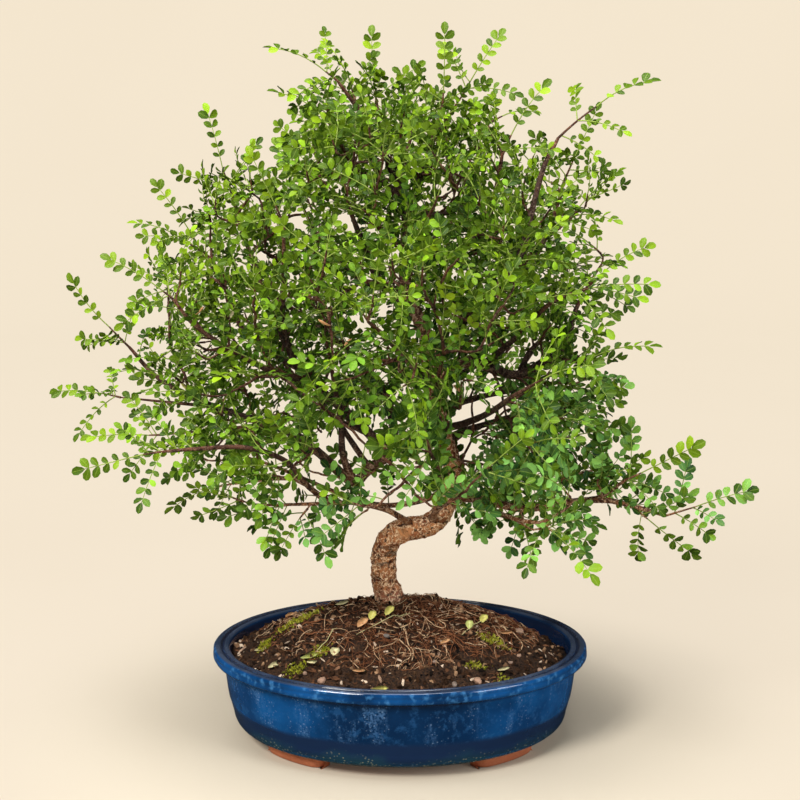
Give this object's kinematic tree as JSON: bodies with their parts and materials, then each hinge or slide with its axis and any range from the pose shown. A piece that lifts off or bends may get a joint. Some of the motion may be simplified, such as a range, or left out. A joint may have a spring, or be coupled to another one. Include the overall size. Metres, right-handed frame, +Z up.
{
  "type": "zanthoxylum bonsai",
  "caption": "Small-leaved pinnate bonsai tree with a curved trunk and a broad open crown, in a mound of soil in an oval blue glazed pot on low feet.",
  "frame": {"origin": "on the table under the middle of the pot, which is also under the middle of the whole plant", "axes": "+Z up along the trunk, -Y towards the viewer of the tree's front, +X to the viewer's right, along the pot's long side"},
  "size_m": [0.4701, 0.3269, 0.472],
  "materials": {
    "blue_glaze": "gloss",
    "soil": "matte",
    "drain_mesh": "matte",
    "bark": "matte",
    "young_leaf": "satin",
    "old_leaf": "satin"
  },
  "bodies": {
    "root": {"pot": "blue_glaze", "soil": "soil", "drain_mesh_left": "drain_mesh", "drain_mesh_right": "drain_mesh", "tree_wood": "bark", "spray_trunk": "young_leaf", "spray_low_left": "old_leaf", "spray_low_left_back": "old_leaf", "spray_left_limb": "young_leaf", "spray_left_stem": "young_leaf", "spray_left_stem_back": "young_leaf", "spray_left_riser": "young_leaf", "spray_left_riser_inner": "young_leaf", "spray_left_riser_middle": "young_leaf", "spray_left_riser_outer": "young_leaf", "spray_low_left_fan": "old_leaf", "spray_low_left_tip": "old_leaf", "spray_mid_left": "young_leaf", "spray_up_left": "young_leaf", "spray_up_left_back": "young_leaf", "spray_top_left": "young_leaf", "spray_top_far_left": "young_leaf", "spray_top_right": "young_leaf", "spray_up_right": "young_leaf", "spray_up_right_back": "young_leaf", "spray_right_riser": "young_leaf", "spray_right_riser_inner": "young_leaf", "spray_right_limb": "old_leaf", "spray_right_limb_back": "old_leaf", "spray_right_limb_front": "old_leaf", "spray_right_limb_low": "old_leaf", "spray_low_right_back": "old_leaf", "spray_low_right_middle": "old_leaf", "spray_low_right": "old_leaf", "spray_low_right_riser": "old_leaf", "spray_low_right_front": "old_leaf", "spray_front_shoot": "young_leaf", "spray_front_low": "old_leaf", "spray_front_middle": "young_leaf", "spray_front_right": "old_leaf", "spray_front_top": "young_leaf", "spray_back_low": "old_leaf", "spray_back_right": "old_leaf", "spray_back_middle": "young_leaf", "spray_back_up": "young_leaf", "spray_back_top": "young_leaf", "spray_back_left": "old_leaf", "spray_top_left_side_1": "young_leaf", "spray_top_right_side_2": "young_leaf", "spray_left_riser_middle_side_3": "young_leaf", "spray_left_limb_side_4": "young_leaf", "spray_left_limb_side_5": "old_leaf", "spray_low_left_side_6": "old_leaf", "spray_low_left_side_7": "old_leaf", "spray_right_riser_inner_side_8": "young_leaf", "spray_low_right_side_9": "old_leaf", "spray_low_right_side_10": "old_leaf", "spray_left_riser_side_11": "young_leaf", "spray_front_middle_side_12": "old_leaf", "spray_right_riser_side_13": "young_leaf"}
  },
  "joints": []
}
